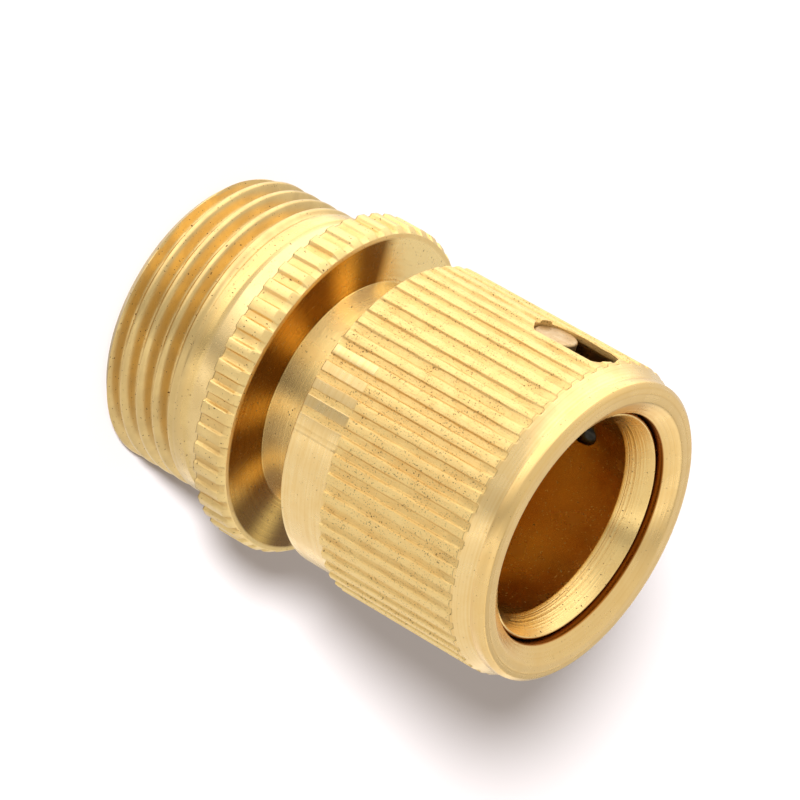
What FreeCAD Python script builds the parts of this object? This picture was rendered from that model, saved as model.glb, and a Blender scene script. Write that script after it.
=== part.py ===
"""Brass quick coupling for a garden hose: socket half with a G 3/4 male thread.

It stands on the end of its thread, mouth up. The origin is the centre of the thread's
end face and +Z runs along the axis to the mouth. All sizes are in millimetres.
"""
import FreeCAD
import Part
import Sketcher

import math
import os

# Driving sizes
SIZES = {
    # Threaded end, relief and knurled flange
    "thread_r": 13.22,
    "thread_len": 9.65,
    "thread_bevel": 0.9,
    "relief_len": 2.8,
    "relief_run": 0.3,
    "relief_depth": 0.27,
    "flange_r": 15.13,
    "flange_thick": 3.25,
    "flange_bevel": 0.45,
    "flange_bevel_len": 0.65,
    "flange_ridges": 48,
    "flange_groove_depth": 0.38,
    "flange_groove_floor_half": 0.24,
    "flange_groove_mouth_half": 0.7,
    # Nose and the passage through it, from the mouth down to the inlet
    "nose_len": 25.3,
    "nose_wall": 1.31,
    "nose_edge": 0.15,
    "nose_land": 0.12,
    "lead_in_depth": 2.34,
    "mouth_r": 9.0,
    "mouth_depth": 12.4,
    "seal_step": 1.0,
    "seal_lead": 0.8,
    "seal_len": 9.3,
    "stop_step": 1.5,
    "throat_len": 2.5,
    "inlet_taper": 2.5,
    "inlet_r": 9.0,
    "inlet_bevel": 0.6,
    # Collar on the nose that carries the spring
    "collar_inset": 0.5,
    "collar_thick": 1.0,
    "collar_height": 1.89,
    # Sliding sleeve
    "sleeve_gap": 5.1,
    "sleeve_wall": 1.92,
    "sleeve_edge": 0.2,
    "sleeve_lead": 1.4,
    "sleeve_ridges": 55,
    "sleeve_groove_depth": 0.3,
    "sleeve_groove_floor_half": 0.195,
    "sleeve_groove_mouth_half": 0.645,
    "waist_len": 1.5,
    "ring_len": 1.3,
    "ring_step": 0.65,
    "ring_rise": 0.25,
    "ring_edge": 0.4,
    "dish_width": 1.35,
    "dish_depth": 0.92,
    "lip_gap": 0.19,
    "guide_len": 2.6,
    "guide_clearance": 0.06,
    "collar_clearance": 0.08,
    "travel": 4.0,
    # Plain band at the sleeve's rear end, turned off centre
    "band_len": 4.7,
    "band_depth": 0.2,
    "band_shift_x": 0.468,
    "band_shift_y": 0.107,
    # Pin that stops the sleeve, and the window that it stands in
    "pin_r": 1.9,
    "pin_depth": 7.6,
    "pin_recess": 0.05,
    "pin_sink": 0.45,
    "pin_edge": 0.2,
    "window_clearance": 0.1,
    "stop_gap": 0.05,
    # Locking balls, their tapered holes and the sleeve's ramp over them
    "balls": 3,
    "ball_r": 1.5,
    "ball_depth": 6.8,
    "ball_reach": 0.85,
    "ball_clearance": 0.04,
    "ball_taper": 0.11,
    "ball_taper_len": 0.5,
    "ramp_slope": 0.22,
    "ramp_gap": 0.087,
    "ramp_tail": 1.9,
    "lip_clearance": 0.15,
    # Return spring between the collar and the sleeve's shoulder
    "spring_turns": 3.5,
    "spring_play": 0.52,
    "spring_gap": 0.02,
    "wire_r": 0.47,
    "wire_sides": 8,
    # How far a cutting outline stands off the surface that it cuts
    "overcut": 0.3,
}


def less(words):
    """The same sum of sizes with every sign turned."""
    return " ".join(word[1:] if word.startswith("-") else "-" + word for word in words.split())


# Radii and heights that pieces share, as signed sums of the driving sizes
NECK_R = "mouth_r nose_wall"
COLLAR_R = NECK_R + " collar_height"
CHAMBER_R = COLLAR_R + " collar_clearance"
SLEEVE_R = CHAMBER_R + " sleeve_wall"
RING_R = SLEEVE_R + " -ring_step"
LIP_R = NECK_R + " lip_gap"
BALL_SEAT_R = "mouth_r ball_r -ball_reach"
BALL_HOLE_R = "ball_r ball_clearance"
SPRING_R = NECK_R + " spring_play wire_r"

FLANGE_BASE_Z = "thread_len relief_len"
FLANGE_TOP_Z = FLANGE_BASE_Z + " flange_thick"
NOSE_TOP_Z = FLANGE_TOP_Z + " nose_len"
MOUTH_BASE_Z = NOSE_TOP_Z + " -mouth_depth"
SEAL_TOP_Z = MOUTH_BASE_Z + " -seal_lead"
STOP_Z = SEAL_TOP_Z + " -seal_len"
THROAT_BASE_Z = STOP_Z + " -throat_len"
BALL_Z = NOSE_TOP_Z + " -ball_depth"
PIN_Z = NOSE_TOP_Z + " -pin_depth"
SLEEVE_BASE_Z = FLANGE_TOP_Z + " sleeve_gap"
SLEEVE_TOP_Z = NOSE_TOP_Z + " sleeve_lead"
RING_BASE_Z = SLEEVE_TOP_Z + " -ring_len"
KNURL_TOP_Z = RING_BASE_Z + " -waist_len"
LIP_BASE_Z = BALL_Z + " travel ball_r lip_clearance"
RAMP_BASE_Z = BALL_Z + " -ramp_tail"
CHAMBER_TOP_Z = RAMP_BASE_Z + " -guide_len"
COLLAR_BASE_Z = SLEEVE_BASE_Z + " collar_inset"
COLLAR_TOP_Z = COLLAR_BASE_Z + " collar_thick"

# The ramp's radius over a ball at rest, at the ramp's rear end and at the lip
RAMP_R = BALL_SEAT_R + " ball_r ramp_gap"
RAMP_BASE_R = RAMP_R + " -ramp_slope*ramp_tail"
RAMP_TOP_R = RAMP_R + " ramp_slope*travel ramp_slope*ball_r ramp_slope*lip_clearance"

doc = FreeCAD.newDocument("QuickCoupling")
sheet = doc.addObject("Spreadsheet::Sheet", "Sizes")
for row, (alias, size) in enumerate(SIZES.items(), start=1):
    sheet.set(f"A{row}", alias)
    sheet.set(f"B{row}", str(size))
    sheet.setAlias(f"B{row}", alias)
doc.recompute()


def measure(words):
    """Value and sheet expression of a signed sum of sizes or products of sizes."""
    value, expression = 0.0, ""
    for word in words.split():
        sign = "-" if word.startswith("-") else "+"
        names = word.lstrip("-").split("*")
        product = math.prod(SIZES[name] for name in names)
        value += -product if sign == "-" else product
        expression += f" {sign} " + " * ".join("Sizes." + name for name in names)
    return value, expression.removeprefix(" + ").strip()


def bind(obj, prop, words):
    """Drive one property of an object from the sheet."""
    obj.setExpression(prop, measure(words)[1])


def new_body(label):
    body = doc.addObject("PartDesign::Body", label)
    body.Label = label
    return body


def origin(body, role):
    return next(feature for feature in body.Origin.OriginFeatures if feature.Role == role)


def new_sketch(body, name, role, lift=None):
    """Sketch on one of the body's origin planes, raised along its normal by a named size."""
    sketch = body.newObject("Sketcher::SketchObject", name)
    sketch.AttachmentSupport = [(origin(body, role), "")]
    sketch.MapMode = "FlatFace"
    if lift:
        bind(sketch, "AttachmentOffset.Base.z", lift)
    return sketch


def fix(sketch, geometry, point, words_x, words_y):
    """Place a point of a sketch by named sizes; no words put it on that axis."""
    for kind, words, axis in (("DistanceX", words_x, -2), ("DistanceY", words_y, -1)):
        if words:
            value, expression = measure(words)
            index = sketch.addConstraint(Sketcher.Constraint(kind, -1, 1, geometry, point, value))
            sketch.setExpression(f"Constraints[{index}]", expression)
        else:
            sketch.addConstraint(Sketcher.Constraint("PointOnObject", geometry, point, axis))


def outline(sketch, corners):
    """Closed outline through corners given as pairs of words."""
    points = [FreeCAD.Vector(measure(x)[0], measure(y)[0], 0) for x, y in corners]
    first = sketch.GeometryCount
    count = len(points)
    for index in range(count):
        sketch.addGeometry(Part.LineSegment(points[index], points[(index + 1) % count]))
    for index, (x, y) in enumerate(corners):
        following = first + (index + 1) % count
        sketch.addConstraint(Sketcher.Constraint("Coincident", first + index, 2, following, 1))
        fix(sketch, first + index, 1, x, y)


def circle(sketch, radius, x="", y=""):
    centre = FreeCAD.Vector(measure(x)[0], measure(y)[0], 0)
    value, expression = measure(radius)
    ring = sketch.addGeometry(Part.Circle(centre, FreeCAD.Vector(0, 0, 1), value))
    index = sketch.addConstraint(Sketcher.Constraint("Radius", ring, value))
    sketch.setExpression(f"Constraints[{index}]", expression)
    fix(sketch, ring, 3, x, y)


def revolve(body, kind, sketch, axis="V_Axis"):
    feature = body.newObject("PartDesign::" + kind, sketch.Name + kind)
    feature.Profile = sketch
    feature.ReferenceAxis = (sketch, [axis])
    feature.Angle = 360
    return feature


def pocket(body, sketch, length):
    """Cut along the sketch's normal."""
    feature = body.newObject("PartDesign::Pocket", sketch.Name + "Cut")
    feature.Profile = sketch
    feature.Reversed = True
    bind(feature, "Length", length)
    return feature


def ring_of(body, feature, count):
    """Repeat a feature evenly round the axis."""
    pattern = body.newObject("PartDesign::PolarPattern", feature.Name + "Ring")
    pattern.Originals = [feature]
    pattern.Axis = (origin(body, "Z_Axis"), [""])
    pattern.Angle = 360
    bind(pattern, "Occurrences", count)
    body.Tip = pattern
    return pattern


def knurl(body, name, outer_r, base_z, top_z):
    """Straight knurl: one flat-bottomed groove along the axis, repeated; on a taper it runs out."""
    sketch = new_sketch(body, name + "Groove", "XY_Plane", base_z)
    root, rim = f"{outer_r} -{name}_groove_depth", f"{outer_r} overcut"
    floor, mouth = f"{name}_groove_floor_half", f"{name}_groove_mouth_half"
    outline(sketch, [(root, "-" + floor), (root, floor), (rim, mouth), (rim, "-" + mouth)])
    return ring_of(body, pocket(body, sketch, f"{top_z} {less(base_z)}"), name + "_ridges")


def spin(body, kind, sketch, corners):
    """Turn an outline about the line from its last corner to its first."""
    outline(sketch, corners)
    ends = [FreeCAD.Vector(measure(x)[0], measure(y)[0], 0) for x, y in (corners[0], corners[-1])]
    axis = sketch.addGeometry(Part.LineSegment(*ends), True)
    sketch.addConstraint(Sketcher.Constraint("Coincident", axis, 1, 0, 1))
    sketch.addConstraint(Sketcher.Constraint("Coincident", axis, 2, len(corners) - 1, 1))
    return revolve(body, kind, sketch, "Axis0")


def stadium(sketch, radius, base, top):
    """Upright slot with round ends, centred on the sketch's vertical axis."""
    value, expression = measure(radius)
    low, high = measure(base)[0], measure(top)[0]
    up = FreeCAD.Vector(0, 0, 1)
    for height, start, end in ((high, 0, 180), (low, 180, 360)):
        ring = Part.Circle(FreeCAD.Vector(0, height, 0), up, value)
        sketch.addGeometry(Part.ArcOfCircle(ring, math.radians(start), math.radians(end)))
    sketch.addGeometry(Part.LineSegment(FreeCAD.Vector(-value, high, 0), FreeCAD.Vector(-value, low, 0)))
    sketch.addGeometry(Part.LineSegment(FreeCAD.Vector(value, low, 0), FreeCAD.Vector(value, high, 0)))
    for joint in ((0, 2, 2, 1), (2, 2, 1, 1), (1, 2, 3, 1), (3, 2, 0, 1)):
        sketch.addConstraint(Sketcher.Constraint("Tangent", *joint))
    fix(sketch, 0, 3, "", top)
    fix(sketch, 1, 3, "", base)
    index = sketch.addConstraint(Sketcher.Constraint("Radius", 0, value))
    sketch.setExpression(f"Constraints[{index}]", expression)


def make_body():
    """Threaded end, knurled flange, neck, spring collar and nose, with the passage through them."""
    body = new_body("body")
    profile = new_sketch(body, "BodyProfile", "XZ_Plane")
    outline(profile, [
        ("inlet_r inlet_bevel", ""),
        ("thread_r -thread_bevel", ""),
        ("thread_r", "thread_bevel"),
        ("thread_r", "thread_len"),
        ("thread_r -relief_depth", "thread_len relief_run"),
        ("thread_r -relief_depth", FLANGE_BASE_Z),
        ("flange_r", FLANGE_BASE_Z),
        ("flange_r", FLANGE_TOP_Z + " -flange_bevel_len"),
        ("flange_r -flange_bevel", FLANGE_TOP_Z),
        (NECK_R, FLANGE_TOP_Z),
        (NECK_R, COLLAR_BASE_Z),
        (COLLAR_R, COLLAR_BASE_Z),
        (COLLAR_R, COLLAR_TOP_Z),
        (NECK_R, COLLAR_TOP_Z),
        (NECK_R, NOSE_TOP_Z + " -nose_edge"),
        (NECK_R + " -nose_edge", NOSE_TOP_Z),
        (NECK_R + " -nose_edge -nose_land", NOSE_TOP_Z),
        ("mouth_r", NOSE_TOP_Z + " -lead_in_depth"),
        ("mouth_r", MOUTH_BASE_Z),
        ("mouth_r -seal_step", SEAL_TOP_Z),
        ("mouth_r -seal_step", STOP_Z),
        ("mouth_r -seal_step -stop_step", STOP_Z),
        ("mouth_r -seal_step -stop_step", THROAT_BASE_Z),
        ("inlet_r", THROAT_BASE_Z + " -inlet_taper"),
        ("inlet_r", "inlet_bevel"),
    ])
    revolve(body, "Revolution", profile)
    knurl(body, "flange", "flange_r", FLANGE_BASE_Z, FLANGE_TOP_Z)

    seat = new_sketch(body, "BallHole", "XZ_Plane")
    seat.AttachmentOffset = FreeCAD.Placement(
        FreeCAD.Vector(), FreeCAD.Rotation(FreeCAD.Vector(0, 1, 0), 180 / SIZES["balls"]))
    seat.setExpression("AttachmentOffset.Rotation.Angle", "180 / Sizes.balls")
    hole = spin(body, "Groove", seat, [
        ("mouth_r -overcut", BALL_Z),
        ("mouth_r -overcut", BALL_Z + " ball_r -ball_taper"),
        ("mouth_r", BALL_Z + " ball_r -ball_taper"),
        ("mouth_r ball_taper_len", f"{BALL_Z} {BALL_HOLE_R}"),
        (NECK_R + " overcut", f"{BALL_Z} {BALL_HOLE_R}"),
        (NECK_R + " overcut", BALL_Z),
    ])
    ring_of(body, hole, "balls")

    pin_hole = new_sketch(body, "PinHole", "YZ_Plane")
    circle(pin_hole, "pin_r", "", PIN_Z)
    body.Tip = pocket(body, pin_hole, NECK_R + " overcut")
    return body


def make_sleeve():
    """Knurled sleeve: front ring and lip, ramp over the balls, guide land and spring chamber."""
    body = new_body("sleeve")
    profile = new_sketch(body, "SleeveProfile", "XZ_Plane")
    outline(profile, [
        (CHAMBER_R + " sleeve_edge", SLEEVE_BASE_Z),
        (SLEEVE_R + " -sleeve_edge", SLEEVE_BASE_Z),
        (SLEEVE_R, SLEEVE_BASE_Z + " sleeve_edge"),
        (SLEEVE_R, KNURL_TOP_Z),
        (RING_R + " -ring_rise", RING_BASE_Z),
        (RING_R, RING_BASE_Z),
        (RING_R, SLEEVE_TOP_Z + " -ring_edge"),
        (RING_R + " -ring_edge", SLEEVE_TOP_Z),
        (LIP_R + " dish_width", SLEEVE_TOP_Z),
        (LIP_R, SLEEVE_TOP_Z + " -dish_depth"),
        (LIP_R, LIP_BASE_Z),
        (RAMP_TOP_R, LIP_BASE_Z),
        (RAMP_BASE_R, RAMP_BASE_Z),
        (NECK_R + " guide_clearance", RAMP_BASE_Z),
        (NECK_R + " guide_clearance", CHAMBER_TOP_Z),
        (CHAMBER_R, CHAMBER_TOP_Z),
        (CHAMBER_R, SLEEVE_BASE_Z + " sleeve_edge"),
    ])
    revolve(body, "Revolution", profile)
    knurl(body, "sleeve", SLEEVE_R, SLEEVE_BASE_Z, RING_BASE_Z)

    band = new_sketch(body, "Band", "XY_Plane", SLEEVE_BASE_Z)
    circle(band, SLEEVE_R + " overcut")
    circle(band, SLEEVE_R + " -band_depth", "band_shift_x", "-band_shift_y")
    pocket(body, band, "band_len")

    window = new_sketch(body, "Window", "YZ_Plane")
    stadium(window, "pin_r window_clearance", PIN_Z + " window_clearance -stop_gap",
            PIN_Z + " travel stop_gap -window_clearance")
    body.Tip = pocket(body, window, SLEEVE_R + " overcut")
    return body


def make_pin():
    """Round pin pressed into the nose from outside; its top stands in the sleeve's window."""
    body = new_body("guide_pin")
    top = SLEEVE_R + " -pin_sink"
    spin(body, "Revolution", new_sketch(body, "PinProfile", "XZ_Plane"), [
        ("mouth_r pin_recess", PIN_Z),
        ("mouth_r pin_recess", PIN_Z + " pin_r"),
        (top + " -pin_edge", PIN_Z + " pin_r"),
        (top, PIN_Z + " pin_r -pin_edge"),
        (top, PIN_Z),
    ])
    return body


def make_spring():
    """Coil with ends ground flat on the collar and the shoulder, its round wire drawn with flat sides."""
    path = doc.addObject("Part::Helix", "SpringPath")
    height = f"{CHAMBER_TOP_Z} {less(COLLAR_TOP_Z)}"
    path.setExpression("Pitch", f"({measure(height)[1]}) / Sizes.spring_turns")
    bind(path, "Height", height)
    bind(path, "Radius", SPRING_R)
    bind(path, "Placement.Base.z", COLLAR_TOP_Z)

    wire = doc.addObject("Part::RegularPolygon", "SpringWire")
    wire.Placement.Rotation = FreeCAD.Rotation(FreeCAD.Vector(1, 0, 0), 90)
    bind(wire, "Polygon", "wire_sides")
    bind(wire, "Circumradius", "wire_r")
    bind(wire, "Placement.Base.x", SPRING_R)
    bind(wire, "Placement.Base.z", COLLAR_TOP_Z)

    coil = doc.addObject("Part::Sweep", "SpringCoil")
    coil.Sections = [wire]
    coil.Spine = (path, [])
    coil.Solid = True
    coil.Frenet = True

    span = doc.addObject("Part::Cylinder", "SpringSpan")
    bind(span, "Radius", CHAMBER_R)
    bind(span, "Height", height + " -spring_gap -spring_gap")
    bind(span, "Placement.Base.z", COLLAR_TOP_Z + " spring_gap")

    spring = doc.addObject("Part::Common", "return_spring")
    spring.Base = coil
    spring.Tool = span
    return spring


def make_ball(number):
    """Steel ball resting in its tapered hole, its inner side standing into the mouth."""
    ball = doc.addObject("Part::Sphere", f"locking_ball_{number}")
    ball.Label = ball.Name
    bind(ball, "Radius", "ball_r")
    turn = f"180 / Sizes.balls * {2 * number - 1}"
    seat = measure(BALL_SEAT_R)[1]
    ball.setExpression("Placement.Base.x", f"({seat}) * cos({turn})")
    ball.setExpression("Placement.Base.y", f"({seat}) * sin({turn})")
    bind(ball, "Placement.Base.z", BALL_Z)
    return ball


pieces = [make_body(), make_sleeve(), make_pin(), make_spring()]
pieces += [make_ball(number) for number in range(1, SIZES["balls"] + 1)]
doc.recompute()

for obj in doc.Objects:
    if "Invalid" in obj.State or "Error" in obj.State:
        raise RuntimeError(f"{obj.Name} failed: {obj.State}")
for piece in pieces:
    if piece.Shape.isNull() or not piece.Shape.isValid() or len(piece.Shape.Solids) != 1:
        raise RuntimeError(f"{piece.Label} is not one valid solid")

os.makedirs("parts", exist_ok=True)
for piece in pieces:
    piece.Shape.exportStep(f"parts/{piece.Label}.step")
    print(f"{piece.Label}: {piece.Shape.Volume:.1f} mm3")
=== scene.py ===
"""Picture scene for the brass quick coupling.

Lengths are written in millimetres, in the model's frame: the coupling stands on the end of
its thread, its axis is Z and the mouth is at the top. Meshes are brought to metres last.
"""

import math
import random

import bmesh
import bpy
from mathutils import Matrix, Vector, noise


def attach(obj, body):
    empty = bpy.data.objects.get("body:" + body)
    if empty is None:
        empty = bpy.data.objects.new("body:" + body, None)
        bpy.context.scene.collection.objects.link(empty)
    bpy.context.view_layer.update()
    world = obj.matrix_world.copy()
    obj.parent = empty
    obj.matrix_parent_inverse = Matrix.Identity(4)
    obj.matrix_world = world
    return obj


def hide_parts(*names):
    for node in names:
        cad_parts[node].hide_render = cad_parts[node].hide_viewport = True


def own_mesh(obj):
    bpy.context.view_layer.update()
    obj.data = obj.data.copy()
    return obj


MM = 0.001
NUDGE = 0.01

# Threaded end and flange
THREAD_R, THREAD_LEN, THREAD_BEVEL = 13.22, 9.65, 0.9
THREAD_PITCH, THREAD_DEPTH = 1.814, 0.98
THREAD_CREST_Z, THREAD_CREST_TURN, THREAD_CREST_HALF = 5.95, math.radians(67.5), 0.05
THREAD_FADE_Z, THREAD_FADE_LEN, THREAD_END_Z = 8.5, 1.1, 8.6
THREAD_BEVEL_ROWS, THREAD_ROWS = 8, 101
RELIEF_R, RELIEF_Z = 12.95, 9.95
FLANGE_R, FLANGE_BASE_Z, FLANGE_TOP_Z = 15.125, 12.45, 15.7
FLANGE_EDGE_R, FLANGE_EDGE_Z = 0.45, 0.65
FLANGE_RIDGES, FLANGE_GROOVE, FLANGE_FADE, FLANGE_SEED = 48, 0.38, 0.0, 3
RIM_R = 14.2

# Neck, spring collar, nose and passage
NECK_R, COLLAR_R, COLLAR_BASE_Z, COLLAR_TOP_Z = 10.31, 12.2, 21.3, 22.3
NOSE_TOP_Z, NOSE_EDGE, NOSE_WALL = 41.0, 0.15, 0.27
MOUTH_R, MOUTH_BASE_Z, LEAD_IN_LEN = 9.0, 28.6, 2.34
SEAL_R, SEAL_TOP_Z, STOP_Z = 8.0, 27.8, 18.5
THROAT_R, THROAT_BASE_Z, INLET_R, INLET_TOP_Z, INLET_EDGE = 6.5, 16.0, 9.0, 13.5, 0.6
OUTSIDE_R, BODY_ROUND = 12.0, 0.07

# Sleeve
SLEEVE_R, SLEEVE_BASE_Z, SLEEVE_TOP_Z, SLEEVE_EDGE = 14.2, 20.8, 42.399, 0.2
SLEEVE_RIDGES, SLEEVE_GROOVE, SLEEVE_FADE, SLEEVE_SEED = 55, 0.3, 0.5, 7
KNURL_TOP_Z, KNURL_FLOOR_R = 39.6, 13.5
SLEEVE_EDGE_ROWS, SLEEVE_ROWS, CONE_ROWS = 6, 24, 7
RING_R, RING_BASE_Z, RING_STEP, RING_EDGE = 13.55, 41.1, 0.08, 0.4
WAIST_R, RUN_OUT_R, RUN_OUT_Z = 13.3, 13.84, 40.2
CONE_FALL = (SLEEVE_R - WAIST_R) / (RING_BASE_Z - KNURL_TOP_Z)
CHAMBER_R, CHAMBER_TOP_Z, GUIDE_R = 12.28, 29.7, 10.37
LIP_R, LIP_BASE_Z, LIP_FLARE_R, LIP_FLARE_Z = 10.5, 39.85, 1.35, 0.92
RAMP_BASE_R, RAMP_BASE_Z, RAMP_TOP_R = 10.82, 32.3, 12.48
BAND_TOP_Z, BAND_STEP, BAND_R = 25.5, 0.06, 14.0
BAND_SHIFT, BAND_TURN = 0.48, math.radians(-8.5)
RING_INSIDE_R, SLEEVE_INSIDE_R, SLEEVE_SKIN_R = 11.0, 12.6, 13.0
RING_ROUND, SLEEVE_ROUND = 0.12, 0.06
TRAVEL = 4.0

# Pin, window, balls and spring
PIN_R, PIN_Z, PIN_INNER, PIN_TOP, PIN_EDGE = 1.9, 33.4, 9.05, 13.75, 0.18
WINDOW_R, WINDOW_LOW_Z, WINDOW_HIGH_Z, WINDOW_INNER, WINDOW_OUTER = 2.0, 33.45, 37.35, 9.6, 15.5
BALL_R, BALL_Z, BALL_SEAT, BALL_TURNS = 1.5, 34.2, 9.65, (60, 180, 300)
BALL_HOLE_R, BALL_HOLE_WIDE_R, BALL_HOLE_WIDE_AT = 1.39, 1.54, 9.5
DRILL_FROM, DRILL_TO = 8.0, 11.0
WIRE_R, WIRE_SIDES, SPRING_R, SPRING_TURNS, SPRING_END = 0.47, 16, 11.3, 3.5, 0.02
SPRING_STEPS = 64

# Angles in degrees above which an edge is drawn sharp
CREASE, SLEEVE_CREASE, ROUND_CREASE, BALL_CREASE = 32, 27, 40, 60

# Columns over one ridge of a knurl: place across it from a groove's middle, share of the depth
FLANGE_STEPS = (
    (-0.5, 0.0), (-0.29, 0.0), (-0.26, 0.1), (-0.225, 0.45), (-0.19, 0.88), (-0.16, 1.0),
    (0.16, 1.0), (0.19, 0.88), (0.225, 0.45), (0.26, 0.1), (0.29, 0.0))
SLEEVE_STEPS = (
    (-0.5, 0.0), (-0.32, 0.02), (-0.28, 0.1), (-0.25, 0.34), (-0.21, 0.82), (-0.17, 0.98),
    (0.17, 0.98), (0.21, 0.82), (0.25, 0.34), (0.28, 0.1), (0.32, 0.02))

# How far single grooves of a knurl depart from the mean, and how they thin out at the top
GROOVE_DEPTHS, GROOVE_WIDTHS, GROOVE_SHIFTS = (0.7, 1.0), (0.85, 1.12), (-0.05, 0.05)
GROOVE_SWAY, SWAY_ROUND, SWAY_ALONG = 0.05, 6, 0.5
GROOVE_REACH, FADE_BELOW_TOP, FADE_LEN = 1.6, 3, 2


def turned(profile, steps, fine=()):
    """A closed piece spun about Z from its half section; fine gives more rows to single edges."""
    bm = bmesh.new()
    verts = [bm.verts.new((r, 0, z)) for r, z in profile]
    edges = [bm.edges.new(pair) for pair in zip(verts, verts[1:] + verts[:1])]
    for index, cuts in fine:
        bmesh.ops.subdivide_edges(bm, edges=[edges[index]], cuts=cuts)
    bmesh.ops.spin(bm, geom=bm.verts[:] + bm.edges[:], axis=(0, 0, 1), angle=math.tau,
                   steps=steps, use_merge=True)
    bmesh.ops.remove_doubles(bm, verts=bm.verts, dist=1e-3)
    bmesh.ops.recalc_face_normals(bm, faces=bm.faces)
    return bm


def soften(bm, width, segments, where):
    """Round the rims whose radius and height pass the test."""
    flat, least = 2e-3, math.radians(14)
    rims = []
    for edge in bm.edges:
        a, b = (v.co for v in edge.verts)
        level = abs(a.z - b.z) < flat and abs(a.xy.length - b.xy.length) < flat
        if level and edge.calc_face_angle(0) > least and where(a.xy.length, a.z):
            rims.append(edge)
    bmesh.ops.bevel(bm, geom=rims, offset=width, offset_type="OFFSET", segments=segments,
                    profile=0.5, affect="EDGES", material=-1, clamp_overlap=True)


def set_radius(vert, radius):
    scale = radius / vert.co.xy.length
    vert.co.x *= scale
    vert.co.y *= scale


def knurl(bm, steps, ridges, radius, depth, low, high, fade, seed):
    """Straight knurl: columns gather at the edges of its grooves, and no two are quite alike."""
    pick = random.Random(seed)
    cuts = [(pick.uniform(*GROOVE_DEPTHS), pick.uniform(*GROOVE_WIDTHS),
             pick.uniform(*GROOVE_SHIFTS)) for _ in range(ridges)]
    columns = ridges * len(steps)
    lowest = radius - depth * GROOVE_REACH
    for vert in bm.verts:
        r, z = vert.co.xy.length, vert.co.z
        if r < lowest or not low <= z <= high:
            continue
        column = math.atan2(vert.co.y, vert.co.x) / math.tau * columns + len(steps) // 2
        ridge, step = divmod(round(column) % columns, len(steps))
        place, share = steps[step]
        deep, wide, shift = cuts[ridge]
        place = place if abs(place) == 0.5 else place * wide + shift
        turn = (ridge + place) * math.tau / ridges
        at = Vector((math.cos(turn) * SWAY_ROUND, math.sin(turn) * SWAY_ROUND, z * SWAY_ALONG))
        turn += noise.noise(at) * GROOVE_SWAY * share * math.tau / ridges
        front = 1 - fade * min(1.0, max(0.0, (z - high + FADE_BELOW_TOP) / FADE_LEN))
        r = min(r, radius - depth * share * deep * front)
        vert.co.x, vert.co.y = r * math.cos(turn), r * math.sin(turn)


def thread_radius(turn, z):
    """Radius of the right-hand thread: round crests and roots, run out into the land behind."""
    rise = THREAD_PITCH * (turn - THREAD_CREST_TURN) / math.tau
    share = (z - THREAD_CREST_Z - rise) / THREAD_PITCH
    off_crest = abs(share - round(share))
    valley = max(0.0, (off_crest - THREAD_CREST_HALF) / (0.5 - THREAD_CREST_HALF))
    fade = min(1.0, max(0.0, (THREAD_FADE_Z - z) / THREAD_FADE_LEN))
    return THREAD_R - THREAD_DEPTH * fade * valley * valley * (3 - 2 * valley)


def piece(name, bm, material, body=None, node=None, crease=CREASE):
    """Bring a mesh to metres, make its object and put it in a node's place on its body."""
    bmesh.ops.scale(bm, vec=(MM, MM, MM), verts=bm.verts)
    mesh = bpy.data.meshes.new(name)
    bm.to_mesh(mesh)
    bm.free()
    obj = bpy.data.objects.new(name, mesh)
    bpy.context.scene.collection.objects.link(obj)
    mesh.materials.append(material)
    mesh.shade_smooth()
    mesh.set_sharp_from_angle(angle=math.radians(crease))
    if body:
        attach(obj, body)
        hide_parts(node)
    return obj


def cut(obj, bm, crease=CREASE):
    """Take a cutter's shape out of a piece."""
    cutter = piece("cutter", bm, obj.data.materials[0])
    modifier = obj.modifiers.new("Cut", "BOOLEAN")
    modifier.operation = "DIFFERENCE"
    modifier.solver = "EXACT"
    modifier.object = cutter
    solid, whole = cutter.data, obj.data
    obj.data = bpy.data.meshes.new_from_object(
        obj.evaluated_get(bpy.context.evaluated_depsgraph_get()))
    obj.data.name = whole.name
    obj.modifiers.clear()
    bpy.data.objects.remove(cutter)
    bpy.data.meshes.remove(solid)
    bpy.data.meshes.remove(whole)
    obj.data.shade_smooth()
    obj.data.set_sharp_from_angle(angle=math.radians(crease))


def rod(bm, rings, turn, z, sides=48):
    """A closed round bar along a radius, through rings given as distance and radius."""
    last = None
    for distance, radius in rings:
        ring = bmesh.ops.create_circle(bm, cap_ends=False, segments=sides, radius=radius)["verts"]
        place = (Matrix.Rotation(turn, 4, "Z") @ Matrix.Translation((distance, 0, z))
                 @ Matrix.Rotation(math.pi / 2, 4, "Y"))
        bmesh.ops.transform(bm, matrix=place, verts=ring)
        edges = [e for e in bm.edges if e.verts[0] in ring and e.verts[1] in ring]
        if last is None:
            bmesh.ops.contextual_create(bm, geom=edges)
        else:
            bmesh.ops.bridge_loops(bm, edges=last + edges)
        last = edges
    bmesh.ops.contextual_create(bm, geom=last)
    bmesh.ops.recalc_face_normals(bm, faces=bm.faces)


# Finishes

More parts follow.
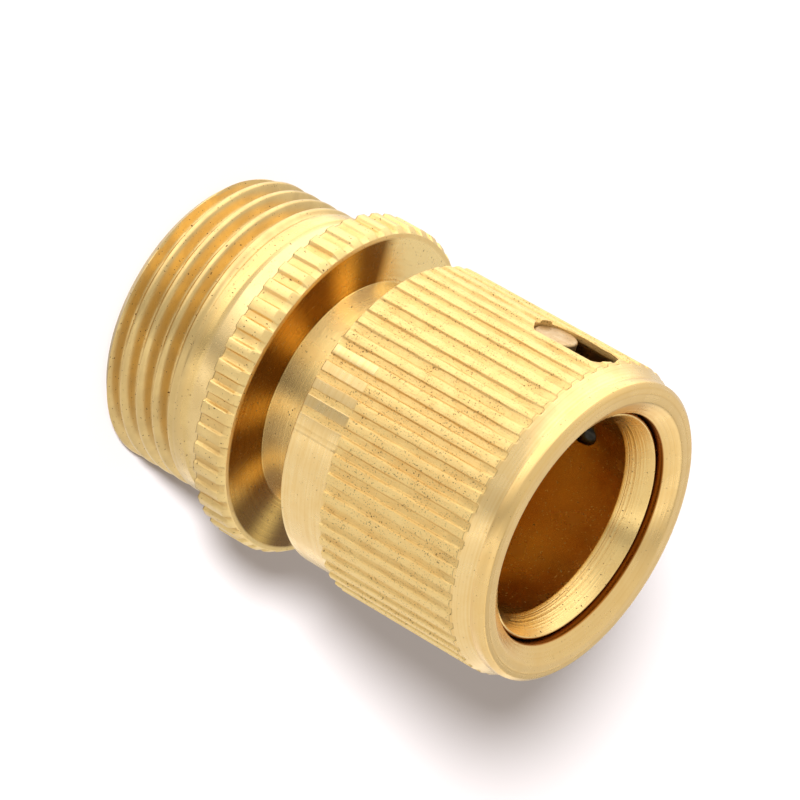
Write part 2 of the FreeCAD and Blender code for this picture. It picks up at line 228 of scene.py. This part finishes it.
class Wire:
    """A shader socket that takes part in arithmetic; each operation adds a node."""

    def __init__(self, tree, socket=None):
        self.tree, self.socket = tree, socket

    def node(self, kind, inputs, output=0, **settings):
        made = self.tree.nodes.new(kind)
        for key, value in settings.items():
            setattr(made, key, value)
        for key, value in inputs.items():
            if isinstance(value, Wire):
                self.tree.links.new(value.socket, made.inputs[key])
            else:
                made.inputs[key].default_value = value
        return Wire(self.tree, made.outputs[output]) if made.outputs else None

    def math(self, operation, *values):
        return self.node("ShaderNodeMath", dict(enumerate(values)), operation=operation)

    def __add__(self, other):
        return self.math("ADD", self, other)

    def __sub__(self, other):
        return self.math("SUBTRACT", self, other)

    def __rsub__(self, other):
        return self.math("SUBTRACT", other, self)

    def __mul__(self, other):
        return self.math("MULTIPLY", self, other)

    __radd__ = __add__
    __rmul__ = __mul__

    def between(self, low, high):
        """0 at low, 1 at high, held at both ends."""
        return self.node("ShaderNodeMapRange", {0: self, 1: low, 2: high}, clamp=True)

    def blend(self, first, second):
        """Colour that goes from first to second as this value goes from 0 to 1."""
        return self.node("ShaderNodeMix", {0: self, 6: first, 7: second}, 2, data_type="RGBA")


def srgb(red, green, blue):
    parts = [c / 255 for c in (red, green, blue)]
    return (*[c / 12.92 if c <= 0.04045 else ((c + 0.055) / 1.055) ** 2.4 for c in parts], 1)


PALE_BRASS, BRASS, WARM_BRASS = srgb(246, 214, 152), srgb(244, 213, 144), srgb(233, 191, 117)
# Some of these colours are painted light: rays, and shade in the bore, on one side, in gaps and
# grooves
PAINTED_RAY_BRASS, BORE_SHADE_BRASS, DULL_AND_SHADED_BRASS = srgb(240, 196, 104), srgb(224, 180, 94), srgb(206, 176, 118)
PAINTED_SHADE_BRASS, GAP_SHADE_BROWN, PIT_AND_SHADE_BROWN = srgb(130, 92, 34), srgb(160, 100, 32), srgb(84, 52, 20)
PIN_BRASS, PIN_TARNISH = srgb(208, 180, 136), srgb(192, 156, 104)
WIRE_STEEL, WIRE_GREY = srgb(196, 194, 188), srgb(150, 147, 140)
# The balls' steel is painted dark, as painted shade of the bore they sit in
BALL_SHADED_STEEL, BALL_SHADE = srgb(54, 50, 43), srgb(36, 33, 28)

BUMP_DEPTH = 0.03
# Azimuth of the side where the body's brass has painted shade and the sleeve's has painted light
SHADE_TURN = math.radians(150)
# Painted reflection on the flange's turned face: how many pale rays, and the azimuth of one of
# them
PAINTED_RAYS, PAINTED_RAY_TURN = 11.0, 1.01
# Width of the soft edge of a painted part
SOFT = 0.1


class Finish:
    """The start of a metal finish: a material with the piece's own coordinates in millimetres."""

    def __init__(self, name):
        self.material = bpy.data.materials.new(name)
        self.material.use_nodes = True
        tree = self.material.node_tree
        tree.nodes.clear()
        self.wire = Wire(tree)
        place = self.wire.node("ShaderNodeTexCoord", {}, "Object")
        self.place = self.wire.node(
            "ShaderNodeVectorMath", {0: place, "Scale": 1 / MM}, operation="SCALE")
        self.x, self.y, self.z = (
            self.wire.node("ShaderNodeSeparateXYZ", {0: self.place}, i) for i in range(3))
        self.radius = self.wire.math("SQRT", self.x * self.x + self.y * self.y)

    def turn(self):
        return self.wire.math("ARCTAN2", self.y, self.x)

    def cloud(self, scale, detail=2.0, place=None, rough=0.55):
        return self.wire.node("ShaderNodeTexNoise", {
            "Vector": place or self.place, "Scale": scale, "Detail": detail, "Roughness": rough})

    def turning_marks(self, scale):
        """Fine rings left by the lathe: they change along the section and not round it."""
        section = self.wire.node("ShaderNodeCombineXYZ", {0: self.radius, 1: self.z})
        return self.cloud(scale, 3.0, section, 0.7)

    def pits(self, scale, low, high):
        """Small open pores in the bar stock."""
        return self.cloud(scale, 1.0).between(low, high)

    def window_shade(self, top_z, fade):
        """Painted shade on the window's walls and the floor under it, fading out below a height.
        """
        low_z = WINDOW_LOW_Z - WINDOW_R - 0.2
        across = 1 - self.wire.math("ABSOLUTE", self.y).between(WINDOW_R, WINDOW_R + SOFT)
        along = self.z.between(low_z, low_z + SOFT) * (1 - self.z.between(top_z - fade, top_z))
        sunk = 1 - self.radius.between(SLEEVE_R - 0.9, SLEEVE_R - 0.3)
        return across * along * self.x.between(WINDOW_INNER - SOFT, WINDOW_INNER) * sunk

    def done(self, colour, roughness, height, bump):
        normal = self.wire.node("ShaderNodeBump", {
            "Strength": bump, "Distance": BUMP_DEPTH * MM, "Height": height})
        shader = self.wire.node("ShaderNodeBsdfPrincipled", {
            "Base Color": colour, "Metallic": 1.0, "Roughness": roughness, "Normal": normal})
        self.wire.node("ShaderNodeOutputMaterial", {"Surface": shader})
        return self.material


def body_brass():
    """Turned brass: duller on the thread, painted rays and shade on the flange's face, painted
    shade in the bore, pores.
    """
    f = Finish("body_brass")
    marks = f.turning_marks(4.5)
    mottle = f.cloud(0.5, 3.0)
    grain = f.cloud(11.0, 2.0)
    pore = f.pits(5.0, 0.7, 0.77)
    turn = f.turn()

    # Where each part of the body lies
    threaded = 1 - f.z.between(THREAD_END_Z, THREAD_END_Z + 0.6)
    valley = (THREAD_R - f.radius).between(0.05, 0.5) * threaded
    land = (f.z.between(THREAD_END_Z, THREAD_END_Z + 0.4)
            * (1 - f.z.between(THREAD_LEN - 0.05, THREAD_LEN + 0.25))
            * f.radius.between(OUTSIDE_R + 0.5, OUTSIDE_R + 0.7))
    relief = (f.z.between(RELIEF_Z - 0.25, RELIEF_Z)
              * (1 - f.z.between(FLANGE_BASE_Z - 0.15, FLANGE_BASE_Z))
              * f.radius.between(OUTSIDE_R, OUTSIDE_R + 0.2))
    rim = f.radius.between(RIM_R, RIM_R + 0.2)
    # Painted shade: a dark line along the flange's rear edge
    edge = rim * (1 - f.z.between(FLANGE_BASE_Z + 0.03, FLANGE_BASE_Z + 0.13))
    groove = ((FLANGE_R - f.radius).between(0.06, 0.34) * rim
              * (1 - f.z.between(FLANGE_TOP_Z - 0.7, FLANGE_TOP_Z - 0.6)))
    face = ((1 - rim) * f.z.between(FLANGE_TOP_Z - 0.08, FLANGE_TOP_Z - 0.04)
            * (1 - f.z.between(FLANGE_TOP_Z + 0.05, FLANGE_TOP_Z + 0.1)))
    # Painted shade on one side of the thread and flange
    shaded_side = (f.wire.math("COSINE", turn - SHADE_TURN).between(0.1, 0.9)
                 * (1 - f.z.between(FLANGE_TOP_Z - 0.7, FLANGE_TOP_Z - 0.1)))
    lead_in = (f.z.between(NOSE_TOP_Z - 2.5, NOSE_TOP_Z - 2.3)
               * (1 - f.radius.between(NECK_R - 0.11, NECK_R - 0.06)))
    # Painted shade in the bore
    bore_shade = ((1 - f.radius.between(MOUTH_R + 0.02, MOUTH_R + 0.1))
            * f.z.between(INLET_TOP_Z - 0.5, INLET_TOP_Z + 0.5))
    # Painted shade on the nose under the sleeve's window
    floor = f.window_shade(LIP_BASE_Z - TRAVEL + 1.2, 2.0)
    cut_face = f.wire.math("MAXIMUM", face, lead_in)

    # Brass, warmer where worn, rolled or speckled, and as painted shade in grooves and valleys
    speckle = grain.between(0.4, 0.7) * (0.15 + rim * 0.2)
    warm = valley * 0.15 + groove * 0.45 + land * 0.4 + threaded * 0.2 + speckle
    warm = warm + mottle.between(0.35, 0.75) * 0.3
    warm = warm + cut_face * marks.between(0.35, 0.65) * 0.5
    colour = warm.blend(relief.blend(BRASS, PALE_BRASS), WARM_BRASS)
    blotch = mottle.between(0.4, 0.6)
    colour = (threaded * (0.4 + blotch * 0.3)).blend(colour, DULL_AND_SHADED_BRASS)
    # Painted shade: one side of the thread and flange dulled
    colour = (shaded_side * (0.45 + blotch * 0.25)).blend(colour, DULL_AND_SHADED_BRASS)

    # The flange's face: painted rays and painted shade on one half, plain brass on the other
    painted_rays = f.wire.math("COSINE", (turn - PAINTED_RAY_TURN) * PAINTED_RAYS) * 0.5 + 0.5
    painted_sheen = painted_rays * painted_rays * (0.7 + marks.between(0.3, 0.7) * 0.3)
    pale_side = f.wire.math("SINE", turn).between(0.08, -0.06)
    colour = face.blend(colour, pale_side.blend(painted_sheen.blend(PAINTED_SHADE_BRASS, PAINTED_RAY_BRASS), BRASS))

    # Painted shade along the flange's rear edge
    colour = (edge * 0.6).blend(colour, PIT_AND_SHADE_BROWN)
    # Painted shade: the bore darkened
    colour = bore_shade.blend(colour, BORE_SHADE_BRASS)
    # Painted shade on the floor under the window
    colour = (floor * 0.7).blend(colour, PIT_AND_SHADE_BROWN)
    colour = (pore * (1 - relief * 0.6)).blend(colour, PIT_AND_SHADE_BROWN)
    roughness = 0.2 + mottle.between(0.3, 0.7) * 0.1 + threaded * 0.08 + rim * 0.12 + pore * 0.2
    height = marks * (0.5 + cut_face * 1.6) + grain * (0.4 + rim * 1.8) - pore * 1.5
    return f.done(colour, roughness, height, 0.6)


def sleeve_brass():
    """Knurled brass: pores and rolled streaks on the ridges, turning marks on the plain parts."""
    f = Finish("sleeve_brass")
    marks = f.turning_marks(4.0)
    mottle = f.cloud(0.6, 4.0)
    grain = f.cloud(12.0, 2.0)
    long_way = f.wire.node(
        "ShaderNodeVectorMath", {0: f.place, 1: (9.0, 9.0, 0.7)}, operation="MULTIPLY")
    streak = f.cloud(1.0, 3.0, long_way, 0.65)

    # Where each part of the sleeve lies
    aside_x = f.x - BAND_SHIFT * math.cos(BAND_TURN)
    aside_y = f.y - BAND_SHIFT * math.sin(BAND_TURN)
    off_centre = f.wire.math("SQRT", aside_x * aside_x + aside_y * aside_y)
    band = (off_centre.between(BAND_R - 0.05, BAND_R - 0.02)
            * (1 - f.z.between(BAND_TOP_Z - 0.04, BAND_TOP_Z)))
    to_cone = f.radius + f.z * CONE_FALL - (SLEEVE_R + KNURL_TOP_Z * CONE_FALL)
    knurled = (f.radius.between(KNURL_FLOOR_R, KNURL_FLOOR_R + 0.1)
               * (1 - to_cone.between(-0.04, -0.015)) * (1 - band))
    # Painted shade: a dark line where the knurl meets the cone
    hem_shade = knurled * to_cone.between(-0.1, -0.05)
    # Painted shade in the gap around the nose: the lip and guide bore inside the sleeve
    lip_gap_shade = 1 - f.radius.between(LIP_R + 0.02, LIP_R + 0.1)
    face = f.z.between(RING_BASE_Z + 0.1, RING_BASE_Z + 0.3)
    sunk = SLEEVE_R - f.radius
    groove = sunk.between(0.05, 0.3) * knurled
    # Painted shade on the groove walls of the knurl
    groove_wall_shade = groove * (1 - sunk.between(0.16, 0.24))
    # Painted shade on the walls of the window
    window = f.window_shade(WINDOW_HIGH_Z + WINDOW_R + 0.4, 0.4)
    # Painted light: the knurl lighter on one side
    lit_side = f.wire.math("COSINE", f.turn() - SHADE_TURN).between(0.3, 0.95) * knurled

    # Brass, warmer in the grooves as painted shade, along the streaks and between the turning
    # marks
    patch = mottle.between(0.42, 0.62)
    pore = f.wire.math("MAXIMUM", f.pits(7.0, 0.62, 0.7) * knurled * (0.35 + patch * 0.65),
                       f.pits(5.0, 0.72, 0.79) * 0.6)
    warm = groove * 0.25 + mottle.between(0.4, 0.7) * 0.3
    warm = warm + streak.between(0.42, 0.7) * knurled * 0.45
    warm = warm + grain.between(0.4, 0.7) * (0.1 + knurled * 0.25)
    warm = warm + (1 - knurled) * marks.between(0.4, 0.65) * 0.45
    # Painted light: less warmth on one side of the knurl
    warm = warm * (1 - lit_side * 0.5)
    colour = warm.blend(knurled.blend(PALE_BRASS, BRASS), WARM_BRASS)

    # Painted shade on the groove walls
    colour = (groove_wall_shade * 0.4).blend(colour, PAINTED_SHADE_BRASS)
    colour = (face * (1 - lip_gap_shade) * 0.45).blend(colour, WARM_BRASS)
    # Painted shade in the gap around the nose
    colour = lip_gap_shade.blend(colour, GAP_SHADE_BROWN)
    # Painted shade in the window
    colour = (window * 0.85).blend(colour, PIT_AND_SHADE_BROWN)
    colour = (pore * 0.85).blend(colour, PIT_AND_SHADE_BROWN)
    # Painted shade where the knurl meets the cone
    colour = (hem_shade * 0.35).blend(colour, PIT_AND_SHADE_BROWN)
    roughness = 0.24 + knurled * 0.18 + mottle.between(0.3, 0.7) * 0.1
    height = marks * (1 - knurled) * (0.6 + face * 1.6) + (streak * 3.0 + grain * 2.0) * knurled
    return f.done(colour, roughness, height - pore * 2.0, 0.6)


def pin_brass():
    f = Finish("pin_brass")
    mottle = f.cloud(1.2, 3.0)
    pore = f.pits(4.0, 0.66, 0.72)
    colour = mottle.between(0.35, 0.7).blend(PIN_BRASS, PIN_TARNISH)
    colour = (pore * 0.7).blend(colour, PIT_AND_SHADE_BROWN)
    return f.done(colour, 0.32 + mottle * 0.12, mottle - pore, 0.35)


def spring_steel():
    f = Finish("spring_steel")
    mottle = f.cloud(2.5, 3.0)
    colour = mottle.between(0.3, 0.7).blend(WIRE_STEEL, WIRE_GREY)
    return f.done(colour, 0.28 + mottle * 0.15, mottle, 0.2)


def ball_steel():
    f = Finish("ball_steel")
    mottle = f.cloud(1.6, 3.0)
    # Painted shade: the balls darker than steel, as they lie in the dark bore
    colour = mottle.between(0.35, 0.7).blend(BALL_SHADED_STEEL, BALL_SHADE)
    return f.done(colour, 0.12 + mottle.between(0.4, 0.8) * 0.15, mottle, 0.1)


# Pieces

def make_body(material):
    profile = [
        (INLET_R + INLET_EDGE, 0), (THREAD_R - THREAD_BEVEL, 0), (THREAD_R, THREAD_BEVEL),
        (THREAD_R, THREAD_LEN), (RELIEF_R, RELIEF_Z), (RELIEF_R, FLANGE_BASE_Z),
        (FLANGE_R, FLANGE_BASE_Z), (FLANGE_R, FLANGE_TOP_Z - FLANGE_EDGE_Z),
        (FLANGE_R - FLANGE_EDGE_R, FLANGE_TOP_Z), (NECK_R, FLANGE_TOP_Z),
        (NECK_R, COLLAR_BASE_Z), (COLLAR_R, COLLAR_BASE_Z), (COLLAR_R, COLLAR_TOP_Z),
        (NECK_R, COLLAR_TOP_Z), (NECK_R, NOSE_TOP_Z - NOSE_EDGE),
        (NECK_R - NOSE_EDGE, NOSE_TOP_Z), (NECK_R - NOSE_WALL, NOSE_TOP_Z),
        (MOUTH_R, NOSE_TOP_Z - LEAD_IN_LEN), (MOUTH_R, MOUTH_BASE_Z), (SEAL_R, SEAL_TOP_Z),
        (SEAL_R, STOP_Z), (THROAT_R, STOP_Z), (THROAT_R, THROAT_BASE_Z),
        (INLET_R, INLET_TOP_Z), (INLET_R, INLET_EDGE)]
    bevel_edge, thread_edge = 1, 2
    bm = turned(profile, FLANGE_RIDGES * len(FLANGE_STEPS),
                fine=[(bevel_edge, THREAD_BEVEL_ROWS), (thread_edge, THREAD_ROWS)])
    soften(bm, BODY_ROUND, 2, lambda r, z: z > THREAD_LEN - 0.1 or r < OUTSIDE_R)
    for vert in bm.verts:
        r, z = vert.co.xy.length, vert.co.z
        if r > OUTSIDE_R and z < THREAD_LEN - 0.05:
            set_radius(vert, min(r, thread_radius(math.atan2(vert.co.y, vert.co.x), z)))
    knurl(bm, FLANGE_STEPS, FLANGE_RIDGES, FLANGE_R, FLANGE_GROOVE,
          FLANGE_BASE_Z - NUDGE, FLANGE_TOP_Z + NUDGE, FLANGE_FADE, FLANGE_SEED)
    body = piece("coupling_body", bm, material, "body", "body")
    holes = bmesh.new()
    ball_hole = [(DRILL_FROM, BALL_HOLE_R), (MOUTH_R, BALL_HOLE_R),
                 (BALL_HOLE_WIDE_AT, BALL_HOLE_WIDE_R), (DRILL_TO, BALL_HOLE_WIDE_R)]
    for turn in BALL_TURNS:
        rod(holes, ball_hole, math.radians(turn), BALL_Z)
    rod(holes, [(DRILL_FROM, PIN_R), (DRILL_TO, PIN_R)], 0, PIN_Z)
    cut(body, holes)


def make_sleeve(material):
    profile = [
        (CHAMBER_R + SLEEVE_EDGE, SLEEVE_BASE_Z), (SLEEVE_R - SLEEVE_EDGE, SLEEVE_BASE_Z),
        (SLEEVE_R, SLEEVE_BASE_Z + SLEEVE_EDGE), (SLEEVE_R, BAND_TOP_Z),
        (SLEEVE_R, BAND_TOP_Z + BAND_STEP), (SLEEVE_R, KNURL_TOP_Z), (RUN_OUT_R, RUN_OUT_Z),
        (WAIST_R, RING_BASE_Z), (RING_R, RING_BASE_Z + RING_STEP),
        (RING_R, SLEEVE_TOP_Z - RING_EDGE), (RING_R - RING_EDGE, SLEEVE_TOP_Z),
        (LIP_R + LIP_FLARE_R, SLEEVE_TOP_Z), (LIP_R, SLEEVE_TOP_Z - LIP_FLARE_Z),
        (LIP_R, LIP_BASE_Z), (RAMP_TOP_R, LIP_BASE_Z), (RAMP_BASE_R, RAMP_BASE_Z),
        (GUIDE_R, RAMP_BASE_Z), (GUIDE_R, CHAMBER_TOP_Z), (CHAMBER_R, CHAMBER_TOP_Z),
        (CHAMBER_R, SLEEVE_BASE_Z + SLEEVE_EDGE)]
    rear_edge, knurl_edge, cone_edge = 2, 4, 5
    bm = turned(profile, SLEEVE_RIDGES * len(SLEEVE_STEPS), fine=[
        (cone_edge, CONE_ROWS), (knurl_edge, SLEEVE_ROWS), (rear_edge, SLEEVE_EDGE_ROWS)])
    soften(bm, RING_ROUND, 3, lambda r, z: z > SLEEVE_TOP_Z - 0.5 and r > RING_INSIDE_R)
    soften(bm, SLEEVE_ROUND, 2, lambda r, z: z > RING_BASE_Z - 0.05 or r < SLEEVE_INSIDE_R)
    knurl(bm, SLEEVE_STEPS, SLEEVE_RIDGES, SLEEVE_R, SLEEVE_GROOVE,
          SLEEVE_BASE_Z - NUDGE, RUN_OUT_Z, SLEEVE_FADE, SLEEVE_SEED)
    for vert in bm.verts:
        r, z = vert.co.xy.length, vert.co.z
        if r > SLEEVE_SKIN_R and z < BAND_TOP_Z + NUDGE:
            off = math.atan2(vert.co.y, vert.co.x) - BAND_TURN
            across = BAND_SHIFT * math.sin(off)
            band = BAND_SHIFT * math.cos(off) + math.sqrt(BAND_R ** 2 - across ** 2)
            set_radius(vert, min(r, band - max(0.0, SLEEVE_BASE_Z + SLEEVE_EDGE - z)))
    sleeve = piece("sliding_sleeve", bm, material, "sleeve", "sleeve", SLEEVE_CREASE)
    window = bmesh.new()
    rod(window, [(WINDOW_INNER, WINDOW_R), (WINDOW_OUTER, WINDOW_R)], 0, WINDOW_LOW_Z, 64)
    for vert in window.verts:
        if vert.co.z > WINDOW_LOW_Z + 1e-4:
            vert.co.z += WINDOW_HIGH_Z - WINDOW_LOW_Z
    cut(sleeve, window, SLEEVE_CREASE)


def make_pin(material):
    bm = bmesh.new()
    rod(bm, [(PIN_INNER, PIN_R), (PIN_TOP, PIN_R)], 0, PIN_Z, 64)
    ends = [face for face in bm.faces if len(face.verts) > 4]
    rims = [edge for edge in bm.edges if any(face in ends for face in edge.link_faces)]
    bmesh.ops.bevel(bm, geom=rims, offset=PIN_EDGE, offset_type="OFFSET", segments=3, profile=0.5,
                    affect="EDGES", material=-1)
    piece("stop_pin", bm, material, "body", "guide_pin", ROUND_CREASE)


def make_ball(number, turn, material):
    bm = bmesh.new()
    bmesh.ops.create_uvsphere(bm, u_segments=48, v_segments=24, radius=BALL_R)
    place = (Matrix.Rotation(math.radians(turn), 4, "Z")
             @ Matrix.Translation((BALL_SEAT, 0, BALL_Z)))
    bmesh.ops.transform(bm, matrix=place, verts=bm.verts)
    piece(f"lock_ball_{number}", bm, material, f"ball_{number}", f"locking_ball_{number}",
          BALL_CREASE)


def make_spring(material):
    """Coil of round wire with ends ground flat."""
    bm = bmesh.new()
    height = CHAMBER_TOP_Z - COLLAR_TOP_Z
    rise = height / SPRING_TURNS / SPRING_STEPS
    ring = bmesh.ops.create_circle(
        bm, cap_ends=True, segments=WIRE_SIDES, radius=WIRE_R)["verts"]
    place = (Matrix.Translation((SPRING_R, 0, COLLAR_TOP_Z))
             @ Matrix.Rotation(math.pi / 2, 4, "X"))
    bmesh.ops.transform(bm, matrix=place, verts=ring)
    bmesh.ops.spin(bm, geom=bm.faces[:], axis=(0, 0, 1), dvec=(0, 0, rise),
                   steps=round(SPRING_STEPS * SPRING_TURNS), angle=math.tau * SPRING_TURNS)
    for z, up in ((COLLAR_TOP_Z + SPRING_END, -1), (CHAMBER_TOP_Z - SPRING_END, 1)):
        ground = bmesh.ops.bisect_plane(
            bm, geom=bm.verts[:] + bm.edges[:] + bm.faces[:], plane_co=(0, 0, z),
            plane_no=(0, 0, up), clear_outer=True)
        rim = [e for e in ground["geom_cut"] if isinstance(e, bmesh.types.BMEdge)]
        bmesh.ops.holes_fill(bm, edges=rim)
    bmesh.ops.recalc_face_normals(bm, faces=bm.faces)
    spring = piece("return_coil", bm, material, "body", "return_spring", ROUND_CREASE)
    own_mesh(spring)


# Stage: the photograph's own right, up and towards the viewer, in the model's frame

VIEW_TURN = math.radians(67.5)
SIDE = Vector((math.sin(VIEW_TURN), -math.cos(VIEW_TURN), 0))
NEAR = Vector((math.cos(VIEW_TURN), math.sin(VIEW_TURN), 0))
UPRIGHT = Vector((0, 0, 1))
PICTURE_RIGHT = (-0.4333 * NEAR + 0.4958 * SIDE + 0.7526 * UPRIGHT).normalized()
PICTURE_NEAR = (0.8666 * NEAR + 0.499 * UPRIGHT).normalized()
PICTURE_UP = PICTURE_NEAR.cross(PICTURE_RIGHT).normalized()
PICTURE_RIGHT = PICTURE_UP.cross(PICTURE_NEAR)

# Camera: a point on the axis, and the way from there to the lens along the picture's axes
LOOK_AT = Vector((0, 0, 37.06))
LENS_RIGHT, LENS_UP, LENS_NEAR = -11.41, 8.64, 449.3
SENSOR, FOCAL_PIXELS, PICTURE_PIXELS = 36, 5500, 800

LAMP_ENERGY, LAMP_ANGLE, LAMP_COLOUR, LAMP_LIFT = 16.5, math.radians(7), (0.9, 1.0, 1.15), 0.14
PAPER_COLOUR, FLOOR_R = (0.4, 0.345, 0.31, 1), 3000.0
# Brightness of the tent: all round, overhead, in its gap, in the strip below that, and low down
TENT, TENT_TOP, TENT_GAP, TENT_STRIP, TENT_LOW = 0.84, 1.05, 0.45, 0.45, 0.1


def make_camera():
    data = bpy.data.cameras.new("camera")
    data.sensor_width, data.lens = SENSOR, SENSOR * FOCAL_PIXELS / PICTURE_PIXELS
    data.clip_start, data.clip_end = 0.01, 20
    camera = bpy.data.objects.new("camera", data)
    place = (LOOK_AT + LENS_RIGHT * PICTURE_RIGHT + LENS_UP * PICTURE_UP
             + LENS_NEAR * PICTURE_NEAR)
    axes = Matrix((PICTURE_RIGHT, PICTURE_UP, PICTURE_NEAR)).transposed().to_4x4()
    camera.matrix_world = Matrix.Translation(place * MM) @ axes
    bpy.context.scene.collection.objects.link(camera)
    bpy.context.scene.camera = camera


def make_lamp():
    """Broad lamp behind the viewer for the floor's soft shadow; the metal mirrors the tent."""
    data = bpy.data.lights.new("front_lamp", "SUN")
    data.energy, data.angle, data.color = LAMP_ENERGY, LAMP_ANGLE, LAMP_COLOUR
    lamp = bpy.data.objects.new("front_lamp", data)
    way = PICTURE_NEAR + LAMP_LIFT * PICTURE_UP
    lamp.matrix_world = Matrix.Translation(way) @ way.to_track_quat("Z", "Y").to_matrix().to_4x4()
    lamp.visible_glossy = False
    bpy.context.scene.collection.objects.link(lamp)


def make_world():
    """A white tent, brighter overhead, with a dim gap and a bright strip across its lower half."""
    world = bpy.data.worlds.new("studio")
    bpy.context.scene.world = world
    world.use_nodes = True
    tree = world.node_tree
    tree.nodes.clear()
    wire = Wire(tree)
    way = wire.node("ShaderNodeTexCoord", {}, "Generated")
    up, right = (
        wire.node("ShaderNodeVectorMath", {0: way, 1: axis}, 1, operation="DOT_PRODUCT")
        for axis in (PICTURE_UP, PICTURE_RIGHT))
    slant = up + right * 0.5
    gap = slant.between(-0.44, -0.32) * (1 - slant.between(-0.2, -0.06))
    strip = slant.between(-0.7, -0.6) * (1 - slant.between(-0.52, -0.44))
    level = TENT + up.between(0.4, 0.72) * TENT_TOP - gap * TENT_GAP + strip * TENT_STRIP
    level = level + up.between(-0.1, -0.5) * TENT_LOW
    light = wire.node("ShaderNodeBackground", {"Color": (1, 1, 1, 1), "Strength": level})
    wire.node("ShaderNodeOutputWorld", {"Surface": light})


def make_floor():
    bm = bmesh.new()
    bmesh.ops.create_circle(bm, cap_ends=True, segments=96, radius=FLOOR_R)
    material = bpy.data.materials.new("floor_white")
    material.use_nodes = True
    tree = material.node_tree
    tree.nodes.clear()
    wire = Wire(tree)
    paper = wire.node("ShaderNodeBsdfDiffuse", {"Color": PAPER_COLOUR})
    wire.node("ShaderNodeOutputMaterial", {"Surface": paper})
    floor = piece("floor", bm, material)
    floor.visible_glossy = False
    floor.visible_shadow = False


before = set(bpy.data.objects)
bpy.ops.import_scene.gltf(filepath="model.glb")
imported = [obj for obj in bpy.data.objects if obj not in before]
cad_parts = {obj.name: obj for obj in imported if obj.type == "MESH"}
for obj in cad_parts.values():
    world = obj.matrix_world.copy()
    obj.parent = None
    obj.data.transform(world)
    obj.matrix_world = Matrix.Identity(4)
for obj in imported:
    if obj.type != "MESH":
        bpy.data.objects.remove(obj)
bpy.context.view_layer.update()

make_body(body_brass())
make_sleeve(sleeve_brass())
make_pin(pin_brass())
polished = ball_steel()
for ball_number, ball_turn in enumerate(BALL_TURNS, start=1):
    make_ball(ball_number, ball_turn, polished)
make_spring(spring_steel())

make_camera()
make_world()
make_floor()
make_lamp()
bpy.context.scene.view_settings.view_transform = "Standard"
